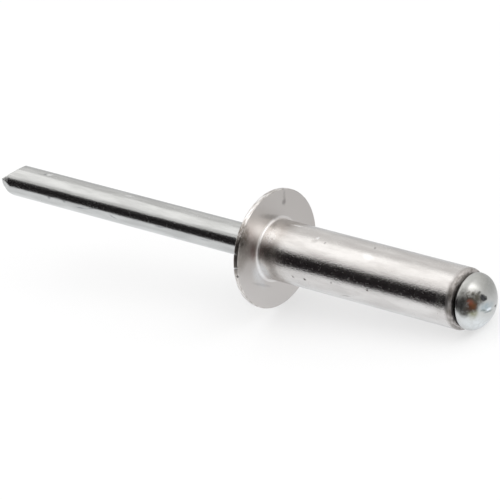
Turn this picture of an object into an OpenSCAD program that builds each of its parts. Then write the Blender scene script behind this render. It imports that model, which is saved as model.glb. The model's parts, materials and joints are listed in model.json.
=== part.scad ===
// Dome-head blind rivet with its pull mandrel still in it, lying on a level surface.
// Lengths are in millimetres. Both pieces are revolved about one axis, which starts at the
// flange's bearing face: the shank and its tail are on the plus side, and the dome and the
// mandrel's stem are on the minus side. The rivet then lies on its flange and its tail, with the
// tail towards +X, the stem raised and the surface at Z = 0.

/* [Rivet body] */
// Diameter of the hollow shank
shank_d = 4.8; // [4.5:0.1:6.4]
// Length of the shank, from the bearing face to its tail
shank_len = 18.55; // [8:0.05:30]
// Diameter of the flange
flange_d = 9.5; // [7.5:0.1:14]
// Thickness of the flange at its rim
rim_t = 0.5; // [0.35:0.05:0.7]
// Height of the head, from the bearing face to the crown of its dome
crown_h = 1.1; // [0.85:0.05:1.8]
// Radius between the bearing face and the rim
bearing_edge = 0.08; // [0.02:0.02:0.12]
// Radius between the rim and the dome
dome_edge = 0.2; // [0.05:0.05:0.2]
// Chamfer round the mouth of the bore in the crown
mouth_break = 0.15; // [0.05:0.05:0.4]
// Fillet in the corner between the bearing face and the shank
root_fillet = 0.2; // [0.05:0.05:0.5]
// Radius to which the tail's outer edge is rolled in
tail_round = 0.4; // [0.1:0.05:0.45]
// Width of the flat ring that is left on the tail, between that radius and the seat
tail_land = 0.18; // [0.04:0.02:0.22]

/* [Mandrel] */
// Diameter of the stem
stem_d = 2.6; // [2:0.05:2.9]
// Clearance all round the stem in the body's bore
stem_clearance = 0.08; // [0.03:0.01:0.12]
// Length of stem that stands out of the dome
stem_out = 27.3; // [15:0.1:40]
// Diameter of the pull head
pull_head_d = 4.4; // [4.1:0.05:5.2]
// Height of the pull head above the tail of the body
pull_head_h = 2.05; // [1.8:0.05:2.6]
// Radius between the cone under the pull head and its widest line
pull_edge = 0.2; // [0.05:0.05:0.3]
// Radius of the pull head's shoulder, between its widest line and its crown
pull_shoulder = 1.05; // [0.6:0.05:1.25]
// Diameter of the stem in the waist where it snaps
waist_d = 1.9; // [1.2:0.05:1.95]
// Radius of the groove that makes the waist
waist_r = 0.8; // [0.4:0.05:1.2]
// Distance from the tail of the body back to the waist
waist_back = 2.8; // [2.2:0.1:5]

/* [Pinch-cut point] */
// Angle between each pinched face and the axis
pinch_angle = 45; // [30:1:60]
// How far the cut edge lies off the axis
edge_offset = 0.45; // [0:0.05:0.8]
// How far the cut edge is turned from level, about the axis
edge_turn = 44; // [0:1:90]
// Length of the end that the cutter squeezed narrower
squeeze_len = 0.45; // [0.3:0.05:2]
// Angle at which that end narrows
squeeze_angle = 7; // [4:1:12]
// How far that end was pushed off the axis
squeeze_off = 0.08; // [0:0.02:0.12]

/* [Hidden] */
$fn = 96;
nib = 0.01; // how far a cutting shape reaches past the face that it cuts

shank_r = shank_d / 2;
stem_r = stem_d / 2;
bore_r = stem_r + stem_clearance;
tip_s = -(crown_h + stem_out);
pole_s = shank_len + pull_head_h;

// The rim has a radius on each edge, and the dome's arc runs tangent into the one on its side.
flange_r = flange_d / 2;
rim_c = [flange_r - bearing_edge, -bearing_edge];
dome_edge_c = [flange_r - dome_edge, dome_edge - rim_t];
dome_rise = crown_h - rim_t;
dome_reach = (dome_rise * dome_rise + dome_edge_c[0] * dome_edge_c[0]) / (2 * dome_rise);
dome_r = dome_reach + dome_edge;
dome_c = [0, dome_r - crown_h];

// The chamfer's 45 degree cone meets the bore this far along the axis.
mouth_s = mouth_break - crown_h;

// The tail: its rolled edge, and the 45 degree seat that the cone under the pull head fits.
tail_round_c = [shank_r - tail_round, shank_len - tail_round];
seat_r = tail_round_c[0] - tail_land;
cone_start_s = shank_len - (seat_r - stem_r);

// The pull head: its cone runs tangent into the edge radius, and that into the shoulder,
// and the shoulder into the crown.
pull_r = pull_head_d / 2;
widest_s = shank_len - seat_r + pull_r + (sqrt(2) - 1) * pull_edge;
pull_edge_c = [pull_r - pull_edge, widest_s];
shoulder_c = [pull_r - pull_shoulder, widest_s];
crown_rise = pole_s - widest_s;
pull_crown_r = (crown_rise * crown_rise + shoulder_c[0] * shoulder_c[0]
    - pull_shoulder * pull_shoulder) / (2 * (crown_rise - pull_shoulder));
pull_crown_c = [0, pole_s - pull_crown_r];

// At rest the edge of the bearing face and the rolled edge of the tail both touch the surface.
// The line that is tangent to both gives the lean, and how high the axis is at the bearing face.
lean_run = tail_round_c[1] - rim_c[1];
lean_drop = rim_c[0] - tail_round_c[0];
lean = atan(lean_drop / lean_run) - asin((tail_round - bearing_edge) / norm([lean_run, lean_drop]));
axis_h = rim_c[0] * cos(lean) + rim_c[1] * sin(lean) + bearing_edge;
mid_s = (tip_s + pole_s) / 2;

// Lays a piece that is built along +X down on the surface, with the middle of its length over the origin.
module at_rest() {
    translate([-mid_s * cos(lean), 0, axis_h]) rotate([0, lean, 0]) children();
}

// Turns a half section, drawn with its radius along X and its length along Y, about the rivet's axis.
// The turned faces have their seam on top, clear of the line that the rivet rests on.
module turned() {
    rotate([0, 90, 0]) rotate(180) rotate_extrude() children();
}

// What an arc of radius r about c gives between the axis and the centre of the next arc, which it meets.
module arc_to(c, r, next_c) {
    way = (next_c - c) / norm(next_c - c);
    side = sign(next_c[1] - c[1]);
    intersection() {
        translate(c) circle(r = r);
        polygon([[0, next_c[1]], next_c, c + 2 * r * way, [0, c[1] + 2 * r * side]]);
    }
}

// A ring of square section with one corner rounded off from inside.
module fillet_corner(corner, r) {
    translate(corner) difference() {
        square(r);
        translate([r, r]) circle(r = r);
    }
}

module head_section() {
    translate([0, -rim_t + dome_edge]) square([rim_c[0], rim_t - dome_edge]);
    translate([0, -rim_t + dome_edge]) square([flange_r, rim_t - dome_edge - bearing_edge]);
    translate(rim_c) circle(r = bearing_edge);
    translate(dome_edge_c) circle(r = dome_edge);
    arc_to(dome_c, dome_r, dome_edge_c);
}

module shank_section() {
    square([shank_r, tail_round_c[1]]);
    square([tail_round_c[0], shank_len]);
    translate(tail_round_c) circle(r = tail_round);
    fillet_corner([shank_r, 0], root_fillet);
}

// The bore, its chamfer in the crown, and its mouth in the tail where the pull head's cone sits.
module bore_section() {
    translate([0, -2 * crown_h]) square([bore_r, 2 * crown_h + shank_len + nib]);
    polygon([[0, -2 * crown_h], [bore_r + crown_h + mouth_break, -2 * crown_h], [0, mouth_s + bore_r]]);
    polygon([
        [0, shank_len - seat_r],
        [seat_r + nib, shank_len + nib],
        [0, shank_len + nib]
    ]);
}

module rivet_body() {
    color([0.78, 0.77, 0.76]) at_rest() turned() difference() {
        union() {
            head_section();
            shank_section();
        }
        bore_section();
    }
}

module stem_section() {
    difference() {
        translate([0, tip_s]) square([stem_r, cone_start_s - tip_s]);
        translate([waist_d / 2 + waist_r, shank_len - waist_back]) circle(r = waist_r);
    }
}

module pull_head_section() {
    cone_end = pull_edge_c + pull_edge * [1, -1] / sqrt(2);
    polygon([[0, cone_start_s], [stem_r, cone_start_s], cone_end, pull_edge_c, [0, widest_s]]);
    translate(pull_edge_c) circle(r = pull_edge);
    intersection() {
        translate(shoulder_c) circle(r = pull_shoulder);
        translate([0, widest_s]) square(2 * pull_r);
    }
    arc_to(pull_crown_c, pull_crown_r, shoulder_c);
}

// Keeps what lies between the two pinched faces, which meet in the cut edge at the tip.
module between_pinched_faces() {
    wide = 2 * pull_r;
    slope = 1 / tan(pinch_angle);
    rotate([-edge_turn, 0, 0]) rotate([90, 0, 0]) linear_extrude(4 * pull_r, center = true) polygon([
        [tip_s, -edge_offset],
        [tip_s + (wide + edge_offset) * slope, wide],
        [pole_s + nib, wide],
        [pole_s + nib, -wide],
        [tip_s + (wide - edge_offset) * slope, -wide]
    ]);
}

// What the cutter squeezed off the round of the stem at its very end.
module squeezed_off() {
    grow = tan(squeeze_angle);
    past = squeeze_len + nib;
    translate([tip_s + squeeze_len, 0, 0]) rotate([-edge_turn, 0, 0]) translate([0, 0, squeeze_off])
        turned() polygon([
            [stem_r - past * grow, -past],
            [2 * stem_r, -past],
            [2 * stem_r, stem_r / grow]
        ]);
}

module mandrel() {
    color([0.72, 0.74, 0.73]) at_rest() difference() {
        intersection() {
            turned() {
                stem_section();
                pull_head_section();
            }
            between_pinched_faces();
        }
        squeezed_off();
    }
}

rivet_body();
mandrel();
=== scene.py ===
# %% [markdown]
# # A blind rivet on a white table
# A blind rivet is two pieces of metal. The soft aluminium body has a thin round flange, a hollow
# shank and a tail whose edge is rolled in. The steel mandrel runs through it, with a head against
# the tail and a long stem that a setting tool pulls on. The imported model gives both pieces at
# their real size. This script lays a finer mesh over each, gives the metals their finish, and
# lights them like small parts photographed in a white tent.

# %% Load the frame
import json
import math

import bpy
import numpy as np
from mathutils import Matrix, Vector


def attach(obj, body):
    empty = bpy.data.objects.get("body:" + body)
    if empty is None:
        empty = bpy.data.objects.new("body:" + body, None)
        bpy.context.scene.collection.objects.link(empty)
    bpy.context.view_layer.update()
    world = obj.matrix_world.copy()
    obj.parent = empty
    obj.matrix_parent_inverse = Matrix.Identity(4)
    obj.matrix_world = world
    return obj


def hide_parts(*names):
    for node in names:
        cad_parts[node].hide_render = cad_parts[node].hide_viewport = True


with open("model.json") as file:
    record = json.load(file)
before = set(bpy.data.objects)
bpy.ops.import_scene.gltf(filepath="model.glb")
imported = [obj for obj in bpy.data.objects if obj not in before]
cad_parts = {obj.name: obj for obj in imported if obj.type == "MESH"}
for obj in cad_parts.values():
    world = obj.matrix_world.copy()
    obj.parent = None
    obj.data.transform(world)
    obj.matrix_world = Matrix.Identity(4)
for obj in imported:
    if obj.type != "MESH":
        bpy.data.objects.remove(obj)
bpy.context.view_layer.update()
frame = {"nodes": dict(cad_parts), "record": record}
print("packed nodes:", sorted(frame["nodes"]))

# %% [markdown]
# ## The axis that everything is turned about
# Lying down, the rivet touches the table with its flange and with its tail, so its axis leans and
# the stem stands up from the table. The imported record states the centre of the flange's bearing
# face and the way the shank points. Every length below is in millimetres: s runs along the axis
# from the bearing face towards the tail, r is the distance from the axis, and the turn is an angle
# about the axis from straight up towards the viewer's side.

# %% Axis and placing
MM = 0.001
bearing_face = next(m for m in frame["record"]["mounts"] if m["name"] == "bearing_face")
face_centre = np.array(bearing_face["pos_m"])
along = np.array(bearing_face["axis"])
lean = math.asin(along[2])
upward = np.array([-math.sin(lean), 0, math.cos(lean)])
frontward = np.array([0, -1, 0])


def place(s, r, turn):
    """Points in metres from arrays of s and r in millimetres and the turn in degrees."""
    s, r, turn = np.broadcast_arrays(s, r, np.radians(turn))
    across = np.multiply.outer(np.cos(turn), upward) + np.multiply.outer(np.sin(turn), frontward)
    return face_centre + MM * (np.multiply.outer(s, along) + r[..., None] * across)


print(f"the axis leans {math.degrees(lean):.2f} degrees, {face_centre[2] / MM:.2f} mm up at the flange")

# %% [markdown]
# ## The camera
# The outlines in the photograph fit a long lens from 0.28 m away, looking down at 28 degrees from
# the tail's side, with the camera rolled so that the rivet runs down to the right. The centre of
# the picture lies a little to the left of the flange.

# %% Camera
# Angles are in degrees and lengths in millimetres.
CAMERA_AZIMUTH = 50.082
CAMERA_ELEVATION = 27.746
CAMERA_ROLL = -21.273
CAMERA_DISTANCE = 281.8
AIM_RIGHT, AIM_UP = -2.105, -0.096
FOCAL_LENGTH = 262.22
NEAREST_SEEN = 10

azimuth, elevation, roll = (math.radians(v) for v in (CAMERA_AZIMUTH, CAMERA_ELEVATION, CAMERA_ROLL))
turned_camera = (
    Matrix.Rotation(azimuth, 3, "Z")
    @ Matrix.Rotation(math.pi / 2 - elevation, 3, "X")
    @ Matrix.Rotation(roll, 3, "Z")
)
camera_right, camera_up, camera_back = turned_camera.col
camera = bpy.data.objects.new("camera", bpy.data.cameras.new("camera"))
bpy.context.collection.objects.link(camera)
camera.matrix_world = turned_camera.to_4x4()
camera.location = Vector(face_centre) + MM * (
    AIM_RIGHT * camera_right + AIM_UP * camera_up + CAMERA_DISTANCE * camera_back
)
camera.data.lens = FOCAL_LENGTH
camera.data.clip_start = NEAREST_SEEN * MM
bpy.context.scene.camera = camera
print("camera at", [round(v, 4) for v in camera.location])

# %% [markdown]
# ## Colour and nodes
# Colours are written as sRGB hex, as a paint shop would give them, and one function turns them
# into the linear values that the shaders use. One more function adds a node: constants go on its
# sockets, and sockets of other nodes are linked.


# %% Helpers for materials
def linear(hex_colour):
    """Linear RGBA from a colour such as #D0CCC6."""
    parts = [int(hex_colour[i : i + 2], 16) / 255 for i in (1, 3, 5)]
    return [c / 12.92 if c <= 0.04045 else ((c + 0.055) / 1.055) ** 2.4 for c in parts] + [1]


def add_node(tree, kind, inputs=None, **settings):
    """Adds a node, sets it up, and fills its sockets with constants or links."""
    new = tree.nodes.new(kind)
    for name, value in settings.items():
        setattr(new, name, value)
    for socket, value in (inputs or {}).items():
        if isinstance(value, bpy.types.NodeSocket):
            tree.links.new(value, new.inputs[socket])
        else:
            new.inputs[socket].default_value = value
    return new


def axis_coordinates(tree):
    """Coordinates in millimetres along and across the rivet's axis, the same wherever it lies."""
    where = add_node(tree, "ShaderNodeTexCoord")
    return add_node(
        tree,
        "ShaderNodeMapping",
        {
            "Vector": where.outputs["Object"],
            "Location": tuple(face_centre),
            "Rotation": (0, -lean, 0),
            "Scale": (MM, MM, MM),
        },
        vector_type="TEXTURE",
    ).outputs[0]


# %% [markdown]
# ## Finishes in layers
# A worn metal surface is a plain finish with other finishes over it: a patch that is duller, a rim
# that rubbed on its neighbours. Some layers are painted shade or a painted highlight, such as the dark
# groove and the pale fillet. Each layer needs to know where it lies.
# A zone is bounded along the axis (s), away from it (r) or upwards (up), in millimetres, and each
# bound runs softly from the place where the layer starts to where it is full. A pattern is noise
# with grains of a real size, drawn out by a stretch, cut at two levels. Laying one finish over
# another then mixes colour, roughness and how metallic it is by the same share.

# %% Zones, patterns and layers
NOISE_ROUGHNESS = 0.6


def zones(tree, axis_mm, bounds):
    """The share of each zone at a place: the product of its soft bounds."""
    parts = add_node(tree, "ShaderNodeSeparateXYZ", {0: axis_mm})
    across = add_node(tree, "ShaderNodeMapping", {"Vector": axis_mm, "Scale": (0, 1, 1)})
    away = add_node(tree, "ShaderNodeVectorMath", {0: across.outputs[0]}, operation="LENGTH")
    measures = {"s": parts.outputs["X"], "r": away.outputs["Value"], "up": parts.outputs["Z"]}
    shares = {}
    for name, limits in bounds.items():
        share = 1.0
        for measure, start, full in limits:
            ramp = {"Value": measures[measure], "From Min": start, "From Max": full}
            inside = add_node(tree, "ShaderNodeMapRange", ramp, interpolation_type="SMOOTHSTEP")
            share = add_node(
                tree, "ShaderNodeMath", {0: share, 1: inside.outputs[0]}, operation="MULTIPLY"
            ).outputs[0]
        shares[name] = share
    return shares


def patterns(tree, axis_mm, grains):
    """The share of each pattern at a place, from nought to one."""
    shares = {}
    for name, (size_mm, detail, stretch, start, full) in grains.items():
        drawn = add_node(tree, "ShaderNodeMapping", {"Vector": axis_mm, "Scale": stretch})
        grain = add_node(
            tree,
            "ShaderNodeTexNoise",
            {
                "Vector": drawn.outputs[0],
                "Scale": 1 / size_mm,
                "Detail": detail,
                "Roughness": NOISE_ROUGHNESS,
            },
        )
        level = {"Value": grain.outputs["Fac"], "From Min": start, "From Max": full}
        cut = add_node(tree, "ShaderNodeMapRange", level, interpolation_type="SMOOTHSTEP")
        shares[name] = cut.outputs[0]
    return shares


def lay_over(tree, finish, shares, colour=None, roughness=None, metallic=None):
    """Mixes a layer into a finish, a list of colour, roughness and metallic. None leaves it as it is."""
    share = 1.0
    for factor in shares:
        share = add_node(tree, "ShaderNodeMath", {0: share, 1: factor}, operation="MULTIPLY").outputs[0]
    mixed = list(finish)
    # A Mix node takes colours in its sockets 6 and 7, and plain numbers in 2 and 3.
    if colour:
        tints = {0: share, 6: finish[0], 7: linear(colour)}
        mixed[0] = add_node(tree, "ShaderNodeMix", tints, data_type="RGBA").outputs[2]
    for place_in_list, value in ((1, roughness), (2, metallic)):
        if value is not None:
            numbers = {0: share, 2: finish[place_in_list], 3: value}
            mixed[place_in_list] = add_node(tree, "ShaderNodeMix", numbers).outputs[0]
    return mixed


# %% [markdown]
# ## Marks of handling, and painted light
# Every rivet has lain in a drum and a box with hundreds of others. The scuffs, dots and stains of
# this one are listed one by one, with a few patches of painted highlight, reflection and shade among
# them: where each lies on the surface, which way it runs, how long and wide it is, its colour, how
# much of the metal it covers, how rough it is and how much it shines like metal. A mark is the part
# of the surface inside an ellipsoid round its place, with its edge frayed by noise, so it needs no
# unwrapped texture and keeps its real size.

# %% Marks
# The size of the frays in an edge, and the range over which they push it, in millimetres.
FRAY_SIZE, FRAY_BY = 0.16, 0.16
FRAY_DETAIL = 2.0
# The pattern of gaps in the marks, and the share of a mark that is left in a gap.
MOTTLE = (0.30, 4.0, (1, 1, 1), 0.38, 0.55)
MOTTLE_LEAST = 0.60


def mark_share(tree, frayed, s, r, turn, tilt, slant, half_length, half_width, soft):
    """One inside a mark, nought outside.

    The tilt is the angle between the surface's outward direction there and straight away from the
    axis. The slant is from the way along the surface that leads towards the tail, to a growing turn.
    On the bearing face, which is square to the axis, that way leads to the axis.
    """
    turn, tilt, slant = math.radians(turn), math.radians(tilt), math.radians(slant)
    away = Vector((0, -math.sin(turn), math.cos(turn)))
    tailward = Vector((1, 0, 0))
    outward = math.cos(tilt) * away + math.sin(tilt) * tailward
    up_the_surface = math.cos(tilt) * tailward - math.sin(tilt) * away
    round_it = Vector((0, -math.cos(turn), -math.sin(turn)))
    lengthwise = math.cos(slant) * up_the_surface + math.sin(slant) * round_it
    facing = Matrix((lengthwise, outward.cross(lengthwise), outward)).transposed()
    inside = add_node(
        tree,
        "ShaderNodeMapping",
        {
            "Vector": frayed,
            "Location": (s, r * away.y, r * away.z),
            "Rotation": tuple(facing.to_euler("XYZ")),
            "Scale": (half_length, half_width, half_length),
        },
        vector_type="TEXTURE",
    )
    reach = add_node(tree, "ShaderNodeVectorMath", {0: inside.outputs[0]}, operation="LENGTH")
    edge = {"Value": reach.outputs["Value"], "From Min": 1 + soft, "From Max": 1 - soft}
    return add_node(tree, "ShaderNodeMapRange", edge, interpolation_type="SMOOTHSTEP").outputs[0]


def add_marks(tree, axis_mm, mottle, marks, finish):
    """Lays a list of marks over a finish, with edges frayed by noise and gaps from a pattern."""
    push = add_node(
        tree,
        "ShaderNodeTexNoise",
        {
            "Vector": axis_mm,
            "Scale": 1 / FRAY_SIZE,
            "Detail": FRAY_DETAIL,
            "Roughness": NOISE_ROUGHNESS,
        },
    )
    centred = {0: push.outputs["Color"], 1: (0.5, 0.5, 0.5)}
    centred = add_node(tree, "ShaderNodeVectorMath", centred, operation="SUBTRACT")
    pushed = {0: centred.outputs[0], 1: (FRAY_BY, FRAY_BY, FRAY_BY), 2: axis_mm}
    frayed = add_node(tree, "ShaderNodeVectorMath", pushed, operation="MULTIPLY_ADD").outputs[0]
    gaps = add_node(tree, "ShaderNodeMapRange", {"Value": mottle, "To Min": MOTTLE_LEAST}).outputs[0]
    for place_and_size, colour, cover, roughness, metallic in marks:
        share = mark_share(tree, frayed, *place_and_size)
        finish = lay_over(tree, finish, (share, cover, gaps), colour, roughness, metallic)
    return finish


# %% [markdown]
# ## Table and light
# Small bright parts are photographed in a tent of white cloth, because polished metal shows
# whatever stands round it. The table is a white card. The camera sees it white, with the rivet's
# soft shadow on it. Rays that come off the metal see it bright on the viewer's side and duller
# behind the rivet, because that change is what makes round parts look round.

# %% Table
# The places and sizes of the table, the lamps and the card are in metres.
TABLE_SIDE = 3.0
TABLE_WHITE = "#F4F4F4"
TABLE_GLOW = 1.02
GLOW_SHARE = 0.55
TABLE_SHEEN = 1.18
SHEEN_WHITE = "#F8FBFF"
TABLE_SHEEN_BEHIND = 0.55
SHEEN_SHARE = 0.6
SHEEN_FULL_Y, SHEEN_FAINT_Y = 0.001, 0.009

table_material = bpy.data.materials.new("white_card")
table_material.use_nodes = True
tree = table_material.node_tree
tree.nodes.clear()
paths = add_node(tree, "ShaderNodeLightPath")
card = add_node(tree, "ShaderNodeBsdfDiffuse", {"Color": linear(TABLE_WHITE)})
place_on_table = add_node(tree, "ShaderNodeTexCoord")
table_y = add_node(tree, "ShaderNodeSeparateXYZ", {0: place_on_table.outputs["Object"]})
sheen_strength = add_node(
    tree,
    "ShaderNodeMapRange",
    {
        "Value": table_y.outputs["Y"],
        "From Min": SHEEN_FULL_Y,
        "From Max": SHEEN_FAINT_Y,
        "To Min": TABLE_SHEEN,
        "To Max": TABLE_SHEEN_BEHIND,
    },
)
# The sheen is painted light: the card glows for the metal's reflections, brighter on the viewer's side.
glow = add_node(tree, "ShaderNodeEmission", {"Color": (1, 1, 1, 1), "Strength": TABLE_GLOW})
sheen = add_node(
    tree, "ShaderNodeEmission", {"Color": linear(SHEEN_WHITE), "Strength": sheen_strength.outputs[0]}
)
seen = add_node(
    tree, "ShaderNodeMixShader", {0: GLOW_SHARE, 1: card.outputs[0], 2: glow.outputs[0]}
)
mirrored = add_node(
    tree, "ShaderNodeMixShader", {0: SHEEN_SHARE, 1: card.outputs[0], 2: sheen.outputs[0]}
)
in_metal = add_node(
    tree,
    "ShaderNodeMixShader",
    {0: paths.outputs["Is Glossy Ray"], 1: card.outputs[0], 2: mirrored.outputs[0]},
)
looked_at = add_node(
    tree,
    "ShaderNodeMath",
    {0: paths.outputs["Is Camera Ray"], 1: paths.outputs["Is Transmission Ray"]},
    operation="MAXIMUM",
)
lit_card = add_node(
    tree,
    "ShaderNodeMixShader",
    {0: looked_at.outputs[0], 1: in_metal.outputs[0], 2: seen.outputs[0]},
)
add_node(tree, "ShaderNodeOutputMaterial", {"Surface": lit_card.outputs[0]})

half = TABLE_SIDE / 2
table_mesh = bpy.data.meshes.new("table")
table_mesh.from_pydata(
    [(-half, -half, 0), (half, -half, 0), (half, half, 0), (-half, half, 0)], [], [(0, 1, 2, 3)]
)
table = bpy.data.objects.new("table", table_mesh)
bpy.context.collection.objects.link(table)
table.data.materials.append(table_material)
print("white table,", TABLE_SIDE, "m wide")

# %% [markdown]
# ## The tent
# The world stands for the cloth. The camera sees it white, and so would a ray through glass. For
# all other rays it is a little darker towards its foot, as cloth that is lit from above is, so
# the metal shows a soft change from the foot to the top.

# %% Tent
TENT_STRENGTH = 0.95
TENT_FOOT_STRENGTH = 0.70
TENT_FULL_HEIGHT = 0.45
world = bpy.data.worlds.new("white_tent")
bpy.context.scene.world = world
world.use_nodes = True
tree = world.node_tree
tree.nodes.clear()
paths = add_node(tree, "ShaderNodeLightPath")
backdrop = add_node(tree, "ShaderNodeBackground", {"Color": (1, 1, 1, 1), "Strength": 1.0})
skyward = add_node(tree, "ShaderNodeTexCoord")
height = add_node(tree, "ShaderNodeSeparateXYZ", {0: skyward.outputs["Generated"]})
cloth_light = add_node(
    tree,
    "ShaderNodeMapRange",
    {
        "Value": height.outputs["Z"],
        "From Max": TENT_FULL_HEIGHT,
        "To Min": TENT_FOOT_STRENGTH,
        "To Max": TENT_STRENGTH,
    },
    interpolation_type="SMOOTHSTEP",
)
cloth = add_node(
    tree, "ShaderNodeBackground", {"Color": (1, 1, 1, 1), "Strength": cloth_light.outputs[0]}
)
looked_at = add_node(
    tree,
    "ShaderNodeMath",
    {0: paths.outputs["Is Camera Ray"], 1: paths.outputs["Is Transmission Ray"]},
    operation="MAXIMUM",
)
shown = add_node(
    tree,
    "ShaderNodeMixShader",
    {0: looked_at.outputs[0], 1: cloth.outputs[0], 2: backdrop.outputs[0]},
)
add_node(tree, "ShaderNodeOutputWorld", {"Surface": shown.outputs[0]})
print("tent of strength", TENT_FOOT_STRENGTH, "at its foot and", TENT_STRENGTH, "above")

# %% [markdown]
# ## Two lamps
# A wide soft lamp above the stem's side gives the broad highlight along the top of the round
# parts, and a smaller one on the tail's side lights the pull head. Each is set by how bright its
# face looks, its radiance, and the power follows from its area.

# %% Soft lamp
LAMP_DISTANCE = 0.30
LAMP_WIDTH = 0.24
LAMP_LENGTH = 0.34
LAMP_ELEVATION = 59
LAMP_RADIANCE = 0.48

lamp_data = bpy.data.lights.new("soft_lamp", "AREA")
lamp_data.shape = "RECTANGLE"
lamp_data.size, lamp_data.size_y = LAMP_LENGTH, LAMP_WIDTH
lamp_data.energy = LAMP_RADIANCE * math.pi * LAMP_LENGTH * LAMP_WIDTH
lamp = bpy.data.objects.new("soft_lamp", lamp_data)
bpy.context.collection.objects.link(lamp)
tilt = math.radians(LAMP_ELEVATION)
lamp.location = (-LAMP_DISTANCE * math.cos(tilt), 0, LAMP_DISTANCE * math.sin(tilt))
lamp.rotation_euler = (0, tilt - math.pi / 2, 0)
print(f"soft lamp of {lamp_data.energy:.3f} W")

# %% Small lamp on the tail's side
SMALL_LAMP_DISTANCE = 0.30
SMALL_LAMP_SIZE = 0.19
SMALL_LAMP_AZIMUTH = 8
SMALL_LAMP_ELEVATION = 42
SMALL_LAMP_RADIANCE = 1.7

small_data = bpy.data.lights.new("small_lamp", "AREA")
small_data.shape = "SQUARE"
small_data.size = SMALL_LAMP_SIZE
small_data.energy = SMALL_LAMP_RADIANCE * math.pi * SMALL_LAMP_SIZE**2
small_lamp = bpy.data.objects.new("small_lamp", small_data)
bpy.context.collection.objects.link(small_lamp)
rise, swing = math.radians(SMALL_LAMP_ELEVATION), math.radians(SMALL_LAMP_AZIMUTH)
toward = Vector((math.cos(rise) * math.cos(swing), math.cos(rise) * math.sin(swing), math.sin(rise)))
small_lamp.location = SMALL_LAMP_DISTANCE * toward
small_lamp.rotation_euler = toward.to_track_quat("Z", "Y").to_euler()
print(f"small lamp of {small_data.energy:.3f} W")

# %% [markdown]
# ## The black card
# Metal that mirrors only white looks flat. A black card in front of the rivet, with its foot
# nearer to it on the tail's side, gives the dark band that the shank and the stem show. The
# camera doesn't see the card, and it casts no shadow.

# %% Black card
CARD_LEFT, CARD_RIGHT = -0.13, 0.09
CARD_FOOT_LEFT, CARD_FOOT_RIGHT = -0.051, -0.009
CARD_TOP = -0.045
CARD_HEIGHT_LEFT, CARD_HEIGHT_RIGHT = 0.050, 0.056
CARD_BLACK = "#171315"

card_material = bpy.data.materials.new("black_card")
card_material.use_nodes = True
tree = card_material.node_tree
tree.nodes.clear()
black = add_node(tree, "ShaderNodeBsdfDiffuse", {"Color": linear(CARD_BLACK)})
add_node(tree, "ShaderNodeOutputMaterial", {"Surface": black.outputs[0]})
card_mesh = bpy.data.meshes.new("black_card")
card_mesh.from_pydata(
    [
        (CARD_LEFT, CARD_FOOT_LEFT, 0),
        (CARD_RIGHT, CARD_FOOT_RIGHT, 0),
        (CARD_RIGHT, CARD_TOP, CARD_HEIGHT_RIGHT),
        (CARD_LEFT, CARD_TOP, CARD_HEIGHT_LEFT),
    ],
    [],
    [(0, 1, 2, 3)],
)
black_card = bpy.data.objects.new("black_card", card_mesh)
bpy.context.collection.objects.link(black_card)
black_card.data.materials.append(card_material)
black_card.visible_camera = False
black_card.visible_diffuse = False
black_card.visible_shadow = False
print("black card,", CARD_RIGHT - CARD_LEFT, "m long")

# %% [markdown]
# ## Turning a section
# Both pieces are round, so each is drawn as a half section, a list of (s, r) points, and turned
# about the axis. Rows follow the section and columns go round it. The section is made of straight
# lines and arcs, and each says how many rows it takes.


# %% Section helpers
def line(start, end, steps):
    """Points from start to end, without the last."""
    return [tuple(np.array(start) + (np.array(end) - np.array(start)) * k / steps) for k in range(steps)]


def arc(centre, radius, start, end, steps):
    """Points on an arc, without the last. The angles are from +s towards +r, in degrees."""
    angles = np.radians(np.linspace(start, end, steps + 1)[:-1])
    return [(centre[0] + radius * math.cos(a), centre[1] + radius * math.sin(a)) for a in angles]


def heading(start, end):
    """Angle of the way from start to end, in degrees from +s towards +r."""
    return math.degrees(math.atan2(end[1] - start[1], end[0] - start[0]))


def mesh_object(name, points, faces, material):
    """A smooth mesh object from points in metres."""
    mesh = bpy.data.meshes.new(name)
    mesh.from_pydata(points.reshape(-1, 3).tolist(), [], faces)
    mesh.update()
    mesh.shade_smooth()
    made = bpy.data.objects.new(name, mesh)
    bpy.context.collection.objects.link(made)
    made.data.materials.append(material)
    print(name, len(mesh.vertices), "points,", len(mesh.polygons), "faces")
    return made


# %% [markdown]
# ## Drawn aluminium, cold-headed and tumbled
# The body is soft aluminium wire, headed cold in a die, drilled and tumbled with its fellows in a
# drum. The eye sees warm grey metal, smooth enough to mirror the tent in soft bands, with fine
# pits, a faint grain and small scuffs. The finish is a plain metal with its IOR at the default,
# a little roughness that varies in patches, and a bump of pits about a tenth of a millimetre
# across, which is as fine as the picture can show.

# %% Aluminium
# Each finish is a colour and a roughness. None leaves what lies under it as it is.
ALUMINIUM, ALUMINIUM_DULL = ("#D8D5D2", 0.15), ("#C6C2BF", 0.20)
FLECKS = (None, 0.30)
HEADED_FACE = ("#CFCAC6", 0.40)
RIM_WORN, RIM_BRIGHT = ("#AAA49F", 0.30), ("#E8E4E0", None)
# A painted highlight: a pale ring on the fillet at the root of the shank.
FILLET_PAINTED_HIGHLIGHT, FILLET_HIGHLIGHT_COVER = ("#EAE6E3", 0.45), 0.8
# The rolled edge is rougher and darkened with painted shade, with lighter scuffs on it.
ROLLED_ROUGH_AND_SHADE, ROLLED_BRIGHT = ("#8A8580", 0.55), ("#C8C3C0", None)
# Painted shade for the groove between the rolled edge and the pull head, near black.
GROOVE_PAINTED_SHADE = ("#161210", 0.7)
METAL = 1.0
PIT_SIZE, PIT_DEPTH = 0.09, 0.006
# The pits would glitter on the narrow rim, so there they are this share as deep.
ON_RIM_DEPTH = 0.15
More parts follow.
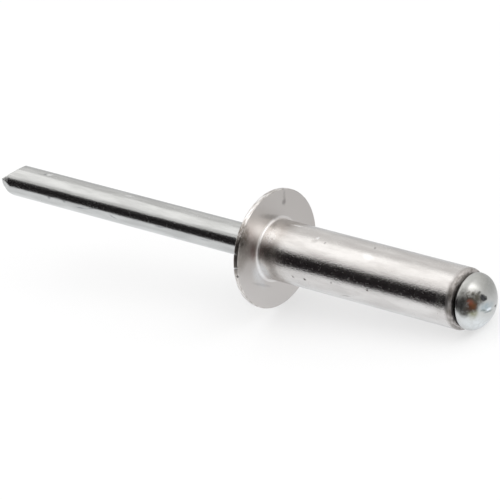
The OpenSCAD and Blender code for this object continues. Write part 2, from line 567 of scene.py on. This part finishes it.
# Each bound of a zone says what it measures, where the zone starts and where it is full.
BODY_ZONES = {
    "flange": [("r", 2.56, 2.64)],
    "dome": [("s", -0.02, -0.08)],
    "rim": [("r", 4.66, 4.72)],
    "fillet": [("r", 2.66, 2.60), ("s", -0.08, -0.02), ("s", 0.24, 0.14)],
    "rolled edge": [("s", 17.95, 18.5)],
    # The groove takes painted shade, full low down and fading out towards its top.
    "groove": [("s", 18.46, 18.52), ("r", 1.96, 1.87), ("up", 2.2, 0.9)],
}
# Each pattern is the size of its grains in millimetres, its detail, its scale along and across the
# axis, where less than one draws it out, and the two levels between which it fades in.
BODY_PATTERNS = {
    "patches": (0.9, 3.0, (0.25, 1, 1), 0.3, 0.7),
    "flecks": (0.14, 3.0, (0.6, 1, 1), 0.56, 0.70),
    "scuffs": (0.30, 3.0, (2.5, 0.6, 0.6), 0.35, 0.65),
    "pits": (PIT_SIZE, 2.0, (1, 1, 1), 0.2, 0.8),
    "mottle": MOTTLE,
}

aluminium = bpy.data.materials.new("cold_headed_tumbled_aluminium")
aluminium.use_nodes = True
tree = aluminium.node_tree
tree.nodes.clear()
axis_mm = axis_coordinates(tree)
zone = zones(tree, axis_mm, BODY_ZONES)
pattern = patterns(tree, axis_mm, BODY_PATTERNS)
colour, roughness = ALUMINIUM
finish = [linear(colour), roughness, METAL]
finish = lay_over(tree, finish, (pattern["patches"],), *ALUMINIUM_DULL)
finish = lay_over(tree, finish, (pattern["flecks"],), *FLECKS)
finish = lay_over(tree, finish, (zone["flange"],), *HEADED_FACE)
finish = lay_over(tree, finish, (zone["dome"],), *HEADED_FACE)
finish = lay_over(tree, finish, (zone["rim"],), *RIM_WORN)
finish = lay_over(tree, finish, (zone["rim"], pattern["scuffs"]), *RIM_BRIGHT)
# Painted highlight on the fillet.
finish = lay_over(tree, finish, (zone["fillet"], FILLET_HIGHLIGHT_COVER), *FILLET_PAINTED_HIGHLIGHT)
# Roughness and painted shade on the rolled edge, then lighter scuffs over it.
finish = lay_over(tree, finish, (zone["rolled edge"],), *ROLLED_ROUGH_AND_SHADE)
finish = lay_over(tree, finish, (zone["rolled edge"], pattern["scuffs"]), *ROLLED_BRIGHT)
print("aluminium with", len(BODY_ZONES), "zones and", len(BODY_PATTERNS), "patterns")

# %% [markdown]
# ## Marks on the aluminium
# Tumbling and handling leave bright scuffs and dark dots on soft metal. The larger ones are listed
# here by where they lie, and each is laid over those before it. At the root of the shank and on the
# rolled edge some marks are painted light and shade instead. The painted shade in the groove between
# the rolled edge and the pull head comes last, over all of them.

# %% Marks on the aluminium
# Each mark is its place and size (s, r, turn, tilt, slant, half length, half width, softness),
# its colour, how much it covers, its roughness and how metallic it is.
BODY_MARKS = [
    # Bearing face: a brown patch in three parts, then grey and bright streaks and dots
    ((0.0, 3.38, 48, 90, 54, 1.13, 0.66, 0.7), "#9A8078", 0.36, 0.45, 1.0),
    ((0.0, 2.90, 61, 90, 74, 0.59, 0.30, 0.7), "#946E68", 0.45, 0.5, 1.0),
    ((0.0, 3.82, 57, 90, 64, 0.78, 0.44, 0.7), "#A0968C", 0.4, 0.5, 1.0),
    ((0.0, 2.87, -5, 90, -56, 1.13, 0.19, 0.7), "#8E8A86", 0.5, 0.4, 1.0),
    ((0.0, 4.09, -32, 90, -15, 0.58, 0.14, 0.6), "#A29D9A", 0.45, 0.4, 1.0),
    ((0.0, 3.69, -33, 90, -16, 0.22, 0.22, 0.6), "#8A8482", 0.6, 0.4, 1.0),
    ((0.0, 3.08, 123, 90, 75, 1.01, 0.10, 0.6), "#A8A4A2", 0.5, 0.4, 1.0),
    ((0.0, 2.85, 110, 90, 94, 0.96, 0.30, 0.8), "#DCDEE0", 0.4, 0.35, 1.0),
    # Rim: two dark stretches, then bright and dark scuffs
    ((-0.23, 4.75, 45, 0, -88, 1.1, 0.40, 0.3), "#6A625A", 0.8, 0.25, 1.0),
    ((-0.23, 4.75, 68, 0, -88, 1.2, 0.40, 0.3), "#8A8278", 0.5, 0.35, 1.0),
    ((-0.33, 4.75, 61, 0, 8, 0.23, 0.06, 0.4), "#FFFFFF", 0.95, 0.5, 1.0),
    ((-0.26, 4.75, 75, 0, -9, 0.26, 0.06, 0.4), "#FFFFFF", 0.95, 0.5, 1.0),
    ((-0.10, 4.75, 83, 0, 17, 0.13, 0.11, 0.4), "#3A3632", 0.8, 0.45, 1.0),
    ((-0.26, 4.75, 1, 0, -79, 0.76, 0.08, 0.4), "#FFFFFF", 0.7, 0.45, 1.0),
    ((-0.21, 4.75, 19, 0, -83, 0.64, 0.07, 0.4), "#FFFFFF", 0.8, 0.45, 1.0),
    # Shank: scuffs and dots, and a worn stretch before the rolled edge
    ((2.20, 2.40, -15, 0, -5, 0.55, 0.08, 0.5), "#FFFFFF", 0.8, 0.5, 1.0),
    ((4.81, 2.40, 13, 0, -16, 0.26, 0.20, 0.6), "#A8A4A0", 0.5, 0.3, 1.0),
    ((4.89, 2.40, 5, 0, -66, 0.16, 0.10, 0.6), "#FFFFFF", 0.6, 0.5, 1.0),
    ((5.79, 2.40, 12, 0, -16, 0.08, 0.10, 0.6), "#8A8684", 0.7, 0.3, 1.0),
    ((10.03, 2.40, -8, 0, -25, 0.08, 0.16, 0.6), "#8A8684", 0.7, 0.3, 1.0),
    ((10.10, 2.40, 16, 0, 13, 0.50, 0.24, 0.7), "#FFFFFF", 0.4, 0.45, 1.0),
    ((4.58, 2.40, 92, 0, -15, 0.13, 0.10, 0.5), "#5E5A58", 0.9, 0.35, 1.0),
    ((3.42, 2.40, 93, 0, 38, 0.15, 0.08, 0.6), "#7A7672", 0.7, 0.35, 1.0),
    ((7.27, 2.40, 83, 0, -14, 0.10, 0.09, 0.6), "#77736F", 0.8, 0.35, 1.0),
    ((10.78, 2.40, 78, 0, -13, 0.12, 0.08, 0.6), "#77736F", 0.8, 0.35, 1.0),
    ((8.28, 2.40, 108, 0, -8, 0.52, 0.06, 0.6), "#8F8B88", 0.6, 0.35, 1.0),
    ((17.6, 2.40, 64, 0, 88, 0.65, 0.35, 0.7), "#6E6860", 0.45, 0.45, 1.0),
    # Root of the shank: a painted reflection, painted shade, a dark brown patch and a painted highlight
    ((0.37, 2.40, 102, 0, 87, 0.85, 0.52, 0.6), "#F4F4F4", 0.85, 0.5, 1.0),
    ((1.47, 2.40, 93, 0, 88, 0.75, 0.35, 0.6), "#9A9896", 0.5, 0.35, 1.0),
    ((0.91, 2.40, 61, 0, 69, 0.77, 0.44, 0.7), "#4E4642", 0.62, 0.35, 1.0),
    ((0.83, 2.40, 26, 0, -80, 0.70, 0.51, 0.7), "#FFFFFF", 0.8, 0.35, 1.0),
    # Rolled edge: painted shade beside the groove
    ((18.56, 2.40, 51, 0, 69, 0.67, 0.27, 0.7), "#4E4944", 0.75, 0.45, 1.0),
    ((18.43, 2.40, 34, 0, 50, 0.51, 0.24, 0.6), "#8A8480", 0.5, 0.4, 1.0),
    ((18.52, 2.40, 78, 0, 56, 0.50, 0.32, 0.6), "#6A645E", 0.7, 0.4, 1.0),
]
finish = add_marks(tree, axis_mm, pattern["mottle"], BODY_MARKS, finish)
# Painted shade darkens the groove, laid over all the marks.
colour, roughness, metallic = lay_over(tree, finish, (zone["groove"],), *GROOVE_PAINTED_SHADE)
depth = add_node(
    tree, "ShaderNodeMapRange", {"Value": zone["rim"], "To Min": 1.0, "To Max": ON_RIM_DEPTH}
)
relief = add_node(
    tree,
    "ShaderNodeBump",
    {"Height": pattern["pits"], "Strength": depth.outputs[0], "Distance": PIT_DEPTH * MM},
)
metal = add_node(
    tree,
    "ShaderNodeBsdfPrincipled",
    {"Base Color": colour, "Metallic": metallic, "Roughness": roughness, "Normal": relief.outputs[0]},
)
add_node(tree, "ShaderNodeOutputMaterial", {"Surface": metal.outputs[0]})
print("aluminium with", len(BODY_MARKS), "marks")

# %% [markdown]
# ## The body
# Outside, the section runs from the mouth of the bore over the low dome, round the thin rim,
# across the bearing face, through a small fillet and along the shank to the rolled tail. Inside
# it comes back down the seat and the bore.

# %% Body sizes
SHANK_R = 2.4
SHANK_LEN = 18.55
FLANGE_R = 4.75
RIM_T = 0.5
CROWN_H = 1.1
BEARING_EDGE = 0.08
DOME_EDGE = 0.2
MOUTH_BREAK = 0.15
ROOT_FILLET = 0.2
TAIL_ROUND = 0.4
TAIL_LAND = 0.18
STEM_R = 1.3
STEM_CLEARANCE = 0.08
BORE_R = STEM_R + STEM_CLEARANCE

dome_edge_c = (DOME_EDGE - RIM_T, FLANGE_R - DOME_EDGE)
dome_rise = CROWN_H - RIM_T
dome_r = (dome_rise**2 + dome_edge_c[1] ** 2) / (2 * dome_rise) + DOME_EDGE
dome_c = (dome_r - CROWN_H, 0)
rim_c = (-BEARING_EDGE, FLANGE_R - BEARING_EDGE)
tail_c = (SHANK_LEN - TAIL_ROUND, SHANK_R - TAIL_ROUND)
seat_r = tail_c[1] - TAIL_LAND
mouth_s = MOUTH_BREAK - CROWN_H
# The chamfer ends where it meets the dome. A few rounds are enough to find that radius.
SETTLING_ROUNDS = 8
mouth_r = BORE_R
for _ in range(SETTLING_ROUNDS):
    mouth_r = BORE_R + mouth_s - (dome_c[0] - math.sqrt(dome_r**2 - mouth_r**2))
mouth = (mouth_s - (mouth_r - BORE_R), mouth_r)
into_edge = heading(dome_c, dome_edge_c)
print(f"dome of {dome_r:.2f} mm radius, mouth of the bore {2 * mouth[1]:.2f} mm across")

# %% Body mesh
# The last number of each line and arc is how many rows it takes.
body_section = (
    arc(dome_c, dome_r, heading(dome_c, mouth) % 360, into_edge % 360, 40)
    + arc(dome_edge_c, DOME_EDGE, into_edge % 360, 90, 10)
    + line((dome_edge_c[0], FLANGE_R), (rim_c[0], FLANGE_R), 4)
    + arc(rim_c, BEARING_EDGE, 90, 0, 6)
    + line((0, rim_c[1]), (0, SHANK_R + ROOT_FILLET), 32)
    + arc((ROOT_FILLET, SHANK_R + ROOT_FILLET), ROOT_FILLET, 180, 270, 8)
    + line((ROOT_FILLET, SHANK_R), (tail_c[0], SHANK_R), 150)
    + arc(tail_c, TAIL_ROUND, 90, 0, 12)
    + line((SHANK_LEN, tail_c[1]), (SHANK_LEN, seat_r), 3)
    + line((SHANK_LEN, seat_r), (SHANK_LEN - seat_r + BORE_R, BORE_R), 4)
    + line((SHANK_LEN - seat_r + BORE_R, BORE_R), (mouth_s, BORE_R), 6)
    + line((mouth_s, BORE_R), mouth, 2)
)
BODY_COLUMNS = 300
s_row, r_row = (np.array(column)[:, None] for column in zip(*body_section))
turns = np.arange(BODY_COLUMNS)[None, :] * 360 / BODY_COLUMNS
body_points = place(s_row, r_row, turns)
rows = len(body_section)
body_faces = []
for i in range(rows):
    for j in range(BODY_COLUMNS):
        i2, j2 = (i + 1) % rows, (j + 1) % BODY_COLUMNS
        body_faces.append(
            (
                i * BODY_COLUMNS + j,
                i2 * BODY_COLUMNS + j,
                i2 * BODY_COLUMNS + j2,
                i * BODY_COLUMNS + j2,
            )
        )
body = mesh_object("aluminium_body", body_points, body_faces, aluminium)
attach(body, "root")
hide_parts("rivet_body")

# %% [markdown]
# ## Bright zinc plate on drawn steel wire
# The mandrel is steel wire, drawn through a die, headed cold and given a thin coat of bright zinc.
# The eye sees a cool, slightly greenish white metal with fine streaks along the wire.

# %% Zinc plate
ZINC, ZINC_DULL = ("#C5C5C3", 0.20), ("#B4B4B2", None)
HEAD_ZINC = ("#C4C4C1", 0.33)
STREAK_SIZE, STREAK_DEPTH = 0.10, 0.0022
MANDREL_ZONES = {
    "head": [("s", 18.9, 19.2)],
    # The groove under the pull head takes the same painted shade, fading out towards its top.
    "groove": [("s", 17.2, 17.4), ("s", 18.96, 18.88), ("up", 2.4, 0.9)],
}
MANDREL_PATTERNS = {
    "patches": (0.5, 3.0, (0.15, 1, 1), 0.3, 0.7),
    "flecks": (0.13, 3.0, (0.5, 1, 1), 0.58, 0.72),
    "streaks": (STREAK_SIZE, 3.0, (0.12, 1, 1), 0.2, 0.8),
    "mottle": MOTTLE,
}

zinc = bpy.data.materials.new("zinc_plated_drawn_steel_wire")
zinc.use_nodes = True
tree = zinc.node_tree
tree.nodes.clear()
axis_mm = axis_coordinates(tree)
zone = zones(tree, axis_mm, MANDREL_ZONES)
pattern = patterns(tree, axis_mm, MANDREL_PATTERNS)
colour, roughness = ZINC
finish = [linear(colour), roughness, METAL]
finish = lay_over(tree, finish, (pattern["patches"],), *ZINC_DULL)
finish = lay_over(tree, finish, (pattern["flecks"],), *FLECKS)
finish = lay_over(tree, finish, (zone["head"],), *HEAD_ZINC)
print("zinc plate with", len(MANDREL_ZONES), "zones and", len(MANDREL_PATTERNS), "patterns")

# %% [markdown]
# ## Marks, rust and stains on the zinc
# Zinc keeps steel from rusting until something knocks it off. Here that happened on the pull head:
# rust spreads from one spot, with dark stains round it. The pull head also has painted shade on its
# upper side, a painted highlight below and a painted glint on its crown. The stem has only dots and
# scratches. Rust isn't a metal, so its marks are rough and much less metallic.

# %% Marks, rust and stains on the zinc
# The order is that of the marks on the aluminium.
MANDREL_MARKS = [
    # Point: pale metal where the cutter squeezed it
    ((-28.15, 1.30, 60, 0, 90, 0.62, 0.42, 0.3), "#DCDCDA", 0.9, 0.6, 1.0),
    # Stem: scuffs, dots and fine scratches along the wire
    ((-23.83, 1.30, -8, 0, -15, 0.28, 0.12, 0.6), "#FFFFFF", 0.6, 0.45, 1.0),
    ((-24.25, 1.30, -4, 0, -6, 0.15, 0.11, 0.6), "#7E8082", 0.6, 0.3, 1.0),
    ((-23.05, 1.30, 83, 0, 5, 0.15, 0.07, 0.6), "#6A6C70", 0.7, 0.3, 1.0),
    ((-21.37, 1.30, 81, 0, 5, 0.12, 0.08, 0.6), "#6A6C70", 0.7, 0.3, 1.0),
    ((-19.56, 1.30, 89, 0, -3, 0.55, 0.06, 0.6), "#74767A", 0.7, 0.3, 1.0),
    ((-18.29, 1.30, 79, 0, -9, 0.57, 0.05, 0.6), "#74767A", 0.6, 0.3, 1.0),
    ((-16.09, 1.30, 91, 0, 19, 0.35, 0.06, 0.6), "#74767A", 0.7, 0.3, 1.0),
    ((-11.00, 1.30, 80, 0, -3, 0.52, 0.05, 0.6), "#7C7E82", 0.6, 0.3, 1.0),
    ((-6.31, 1.30, 84, 0, -1, 0.50, 0.05, 0.6), "#7C7E82", 0.5, 0.3, 1.0),
    ((-15.06, 1.30, -7, 0, -7, 0.39, 0.08, 0.6), "#FFFFFF", 0.35, 0.4, 1.0),
    # Pull head: painted shade on its upper side and a painted highlight on its lower one
    ((19.91, 1.75, -46, 47, -18, 1.12, 1.52, 0.9), "#9A9A94", 0.55, 0.4, 1.0),
    ((20.01, 1.63, 132, 50, 76, 1.49, 0.66, 0.9), "#F0F4F6", 0.6, 0.4, 1.0),
    # Stains round the rust
    ((19.68, 1.97, 75, 40, 25, 0.45, 0.36, 0.6), "#56564F", 0.8, 0.42, 1.0),
    ((19.18, 2.29, 28, 26, -85, 0.46, 0.22, 0.8), "#84847E", 0.6, 0.4, 1.0),
    ((19.58, 2.04, 64, 37, 83, 0.76, 0.37, 0.5), "#4C4A46", 0.75, 0.4, 1.0),
    ((19.88, 1.78, 38, 46, -10, 0.80, 0.52, 0.6), "#4C4842", 0.95, 0.42, 1.0),
    # Rust: an olive fringe, a dark edge, and brown to red inside
    ((20.09, 1.52, 81, 53, 101, 0.43, 0.32, 0.8), "#70703E", 0.7, 0.5, 0.4),
    ((20.04, 1.60, 57, 51, 52, 0.58, 0.49, 0.4), "#2A2018", 0.85, 0.6, 0.5),
    ((19.89, 1.76, 69, 46, 2, 0.34, 0.23, 0.7), "#2E1E12", 0.7, 0.6, 0.2),
    ((20.05, 1.58, 58, 52, 52, 0.40, 0.34, 0.5), "#4A260A", 1.0, 0.75, 0.3),
    ((20.10, 1.52, 57, 53, 51, 0.25, 0.21, 0.8), "#5C360C", 0.8, 0.75, 0.2),
    ((19.92, 1.73, 50, 47, 17, 0.23, 0.18, 0.8), "#82402A", 0.7, 0.75, 0.2),
    # Dark spots beside the rust
    ((20.22, 1.34, 36, 58, -4, 0.56, 0.37, 0.7), "#5A5850", 0.8, 0.42, 1.0),
    ((20.38, 1.03, 22, 66, 5, 0.28, 0.24, 0.3), "#101218", 1.0, 0.6, 0.0),
    ((20.45, 0.87, 17, 70, 51, 0.18, 0.19, 0.4), "#14161A", 1.0, 0.6, 0.0),
    ((19.93, 1.72, 32, 48, -25, 0.17, 0.11, 0.5), "#4A4A46", 0.75, 0.5, 0.7),
    ((20.15, 1.45, 18, 55, -73, 0.17, 0.09, 0.5), "#4A4A46", 0.75, 0.5, 0.7),
    ((20.49, 0.73, -129, 73, 173, 0.20, 0.10, 0.5), "#3A3A3C", 0.85, 0.5, 0.5),
    # Crown: a bluish patch, a painted glint and grey smudges
    ((20.56, 0.45, 64, 80, -5, 0.63, 0.29, 0.9), "#8FA2AA", 0.7, 0.4, 1.0),
    ((20.58, 0.30, 112, 83, 38, 0.26, 0.10, 0.6), "#F2F8FF", 0.7, 0.45, 0.8),
    ((20.48, 0.78, 85, 72, 25, 0.23, 0.09, 0.6), "#5C6866", 0.7, 0.4, 0.8),
    ((20.56, 0.47, 129, 79, 58, 0.46, 0.07, 0.6), "#6E7A7E", 0.6, 0.4, 0.8),
]
finish = add_marks(tree, axis_mm, pattern["mottle"], MANDREL_MARKS, finish)
# Painted shade darkens the groove under the pull head, laid over all the marks.
colour, roughness, metallic = lay_over(tree, finish, (zone["groove"],), *GROOVE_PAINTED_SHADE)
relief = add_node(
    tree,
    "ShaderNodeBump",
    {"Height": pattern["streaks"], "Strength": 1.0, "Distance": STREAK_DEPTH * MM},
)
metal = add_node(
    tree,
    "ShaderNodeBsdfPrincipled",
    {"Base Color": colour, "Metallic": metallic, "Roughness": roughness, "Normal": relief.outputs[0]},
)
add_node(tree, "ShaderNodeOutputMaterial", {"Surface": metal.outputs[0]})
print("zinc plate with", len(MANDREL_MARKS), "marks")

# %% [markdown]
# ## The mandrel
# The stem ends where a cutter pinched the wire off. It leaves a blunt point of four flat faces,
# each with its own slope, that meet beside the axis. Each face is a plane, and at every place the
# stem ends at the plane nearest to the tail, and nowhere further out than its full length. The
# other end carries the pull head.

# %% Mandrel sizes
TIP_S = -28.4
PULL_HEAD_H = 2.05
PULL_R = 2.2
PULL_EDGE = 0.2
PULL_SHOULDER = 1.05
WAIST_R = 0.95
WAIST_GROOVE = 0.8
WAIST_BACK = 2.8
WAIST_S = SHANK_LEN - WAIST_BACK
# Each face of the point is the turn that it faces and its angle to the axis, in degrees, and
# where its plane crosses the axis.
POINT_FACES = [
    (-15.2, 34.2, -28.91),
    (84.6, 11.6, -33.85),
    (145.2, 42.6, -28.98),
    (250.0, 60.2, -27.83),
]

widest_s = SHANK_LEN - seat_r + PULL_R + (math.sqrt(2) - 1) * PULL_EDGE
pole_s = SHANK_LEN + PULL_HEAD_H
edge_c = (widest_s, PULL_R - PULL_EDGE)
shoulder_c = (widest_s, PULL_R - PULL_SHOULDER)
crown_rise = pole_s - widest_s
crown_r = (crown_rise**2 + shoulder_c[1] ** 2 - PULL_SHOULDER**2) / (2 * (crown_rise - PULL_SHOULDER))
crown_c = (pole_s - crown_r, 0)
cone_end = (edge_c[0] - PULL_EDGE / math.sqrt(2), edge_c[1] + PULL_EDGE / math.sqrt(2))
cone_start = (SHANK_LEN - (seat_r - STEM_R), STEM_R)
groove_c = (WAIST_S, WAIST_R + WAIST_GROOVE)
groove_angle = math.degrees(math.acos((groove_c[1] - STEM_R) / WAIST_GROOVE))
groove_half = WAIST_GROOVE * math.sin(math.radians(groove_angle))
into_crown = heading(crown_c, shoulder_c)
print(f"pull head's crown of {crown_r:.2f} mm radius, waist groove {2 * groove_half:.2f} mm wide")

# %% Mandrel mesh
# From here on towards the tail, every ring of the mesh lies square to the axis.
STRAIGHT_S = -25.6
MANDREL_COLUMNS = 240
CAP_RINGS, SIDE_RINGS = 24, 24
turns = np.arange(MANDREL_COLUMNS) * 360 / MANDREL_COLUMNS


def point_cap(r, turn):
    """How far along the axis the point's four faces lie at a place on the end of the stem."""
    faces = [
        s + r * np.cos(np.radians(turn - face_turn)) / math.tan(math.radians(slope))
        for face_turn, slope, s in POINT_FACES
    ]
    return np.maximum(np.maximum.reduce(faces), TIP_S)


edge_r = np.full(MANDREL_COLUMNS, STEM_R)
rings = []
for k in range(1, CAP_RINGS + 1):
    r = edge_r * k / CAP_RINGS
    rings.append(place(point_cap(r, turns), r, turns))
edge_s = point_cap(edge_r, turns)
for k in range(1, SIDE_RINGS + 1):
    s = edge_s + (STRAIGHT_S - edge_s) * k / SIDE_RINGS
    rings.append(place(s, edge_r, turns))
mandrel_section = (
    line((STRAIGHT_S, STEM_R), (WAIST_S - groove_half, STEM_R), 120)[1:]
    + arc(groove_c, WAIST_GROOVE, 270 - groove_angle, 270 + groove_angle, 10)
    + line((WAIST_S + groove_half, STEM_R), cone_start, 4)
    + line(cone_start, cone_end, 8)
    + arc(edge_c, PULL_EDGE, 135, 90, 6)
    + arc(shoulder_c, PULL_SHOULDER, 90, into_crown, 40)
    + arc(crown_c, crown_r, into_crown, 0, 30)
)
for s, r in mandrel_section:
    rings.append(place(s, r, turns))
tip_point = place(point_cap(0.0, 0.0), 0.0, 0.0)
pole_point = place(pole_s, 0.0, 0.0)
mandrel_points = np.concatenate([np.array([tip_point])] + rings + [np.array([pole_point])])
mandrel_faces = []
count = len(rings)
for j in range(MANDREL_COLUMNS):
    j2 = (j + 1) % MANDREL_COLUMNS
    mandrel_faces.append((0, 1 + j, 1 + j2))
    for i in range(count - 1):
        a, b = 1 + i * MANDREL_COLUMNS, 1 + (i + 1) * MANDREL_COLUMNS
        mandrel_faces.append((a + j, b + j, b + j2, a + j2))
    a = 1 + (count - 1) * MANDREL_COLUMNS
    mandrel_faces.append((a + j, len(mandrel_points) - 1, a + j2))
mandrel = mesh_object("steel_mandrel", mandrel_points, mandrel_faces, zinc)
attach(mandrel, "root")
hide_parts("mandrel")

# %% [markdown]
# ## Finish
# The Standard view shows each colour about as it is written.

# %% Finish
bpy.context.scene.view_settings.view_transform = "Standard"
bpy.context.view_layer.update()
